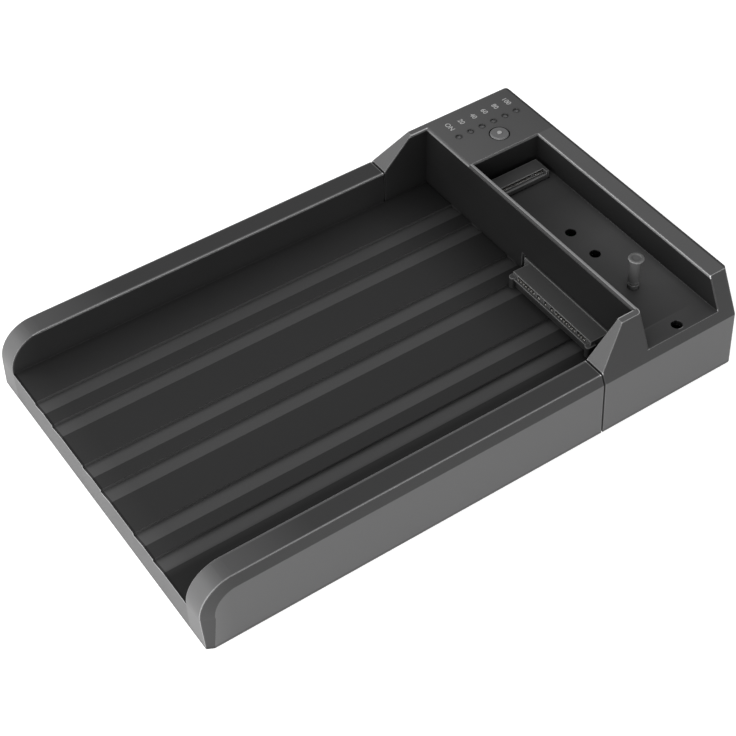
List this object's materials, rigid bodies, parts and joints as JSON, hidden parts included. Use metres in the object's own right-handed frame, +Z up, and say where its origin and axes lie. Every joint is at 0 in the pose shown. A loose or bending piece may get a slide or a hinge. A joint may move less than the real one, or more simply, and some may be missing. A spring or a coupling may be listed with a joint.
{
  "type": "hard drive docking station",
  "caption": "Flat docking station: an open well with a stepped floor for a 3.5 inch drive and a raised head with a card bay, lamp panel and copy button.",
  "frame": {"origin": "centre of the bounding box on the table plane", "axes": "+Y from the open front lip to the back wall, +Z up, +X to the right seen from the front"},
  "size_m": [0.1232, 0.1872, 0.0356],
  "materials": {
    "case_plastic": "fine spark-eroded grain",
    "base_plastic": "matt",
    "foot_rubber": "soft, matt",
    "black_screw_steel": "black zinc",
    "bright_screw_steel": "nickel plated",
    "board_laminate": "solder mask over laminate",
    "spacer_brass": "turned",
    "connector_plastic": "moulded, satin",
    "contact_plate": "gold plated",
    "plug_rubber": "soft moulding, satin",
    "button_plastic": "satin",
    "switch_plastic": "satin",
    "clear_plastic": "clear moulding",
    "lamp_plastic": "small lamp bodies",
    "shell_steel": "folded sheet, nickel plated",
    "rocker_plastic": "satin black",
    "tinned_metal": "tinned",
    "chip_resin": "moulded resin",
    "coil_ferrite": "pressed ferrite",
    "can_aluminium": "brushed can",
    "ceramic": "fired ceramic"
  },
  "bodies": {
    "case": {"cradle_tray": "case_plastic", "head_housing": "case_plastic", "base_plate": "base_plastic", "rubber_feet": "foot_rubber", "case_screws": "black_screw_steel", "main_board": "board_laminate", "board_screws": "bright_screw_steel", "card_board": "board_laminate", "board_spacers": "spacer_brass", "card_header": "connector_plastic", "card_header_pins": "contact_plate", "panel_header": "connector_plastic", "panel_header_pins": "contact_plate", "sata_receptacle": "connector_plastic", "sata_contacts": "contact_plate", "card_socket": "connector_plastic", "card_socket_contacts": "contact_plate", "switch_body": "switch_plastic", "light_pipe": "clear_plastic", "status_lamps": "lamp_plastic", "panel_board": "board_laminate", "panel_screws": "bright_screw_steel", "usb_shell": "shell_steel", "usb_tongue": "connector_plastic", "usb_contacts": "contact_plate", "power_jack": "connector_plastic", "jack_pin": "shell_steel", "jack_leaf": "shell_steel", "rocker_frame": "rocker_plastic", "rocker_terminals": "tinned_metal", "bridge_chip": "chip_resin", "card_bridge_chip": "chip_resin", "memory_chip": "chip_resin", "power_coils": "coil_ferrite", "power_capacitors": "can_aluminium", "crystal": "shell_steel", "chip_capacitors": "ceramic"},
    "copy_button": {"copy_button": "button_plastic", "switch_plunger": "switch_plastic"},
    "power_rocker": {"rocker_cap": "rocker_plastic"},
    "card_plug": {"card_plug": "plug_rubber"}
  },
  "joints": [
    {"name": "copy_button_press", "type": "slide", "parent": "case", "child": "copy_button", "axis": [0, 0, -1], "range_m": [0, 0.0005], "stiffness_N_per_m": 1500},
    {"name": "power_rocker_tilt", "type": "hinge", "parent": "case", "child": "power_rocker", "pos_m": [-0.042, 0.09065, 0.0168], "axis": [0, 0, -1], "range_deg": [0, 16]},
    {"name": "card_plug_pull", "type": "slide", "parent": "case", "child": "card_plug", "axis": [0, 0, 1], "range_m": [0, 0.006]}
  ]
}
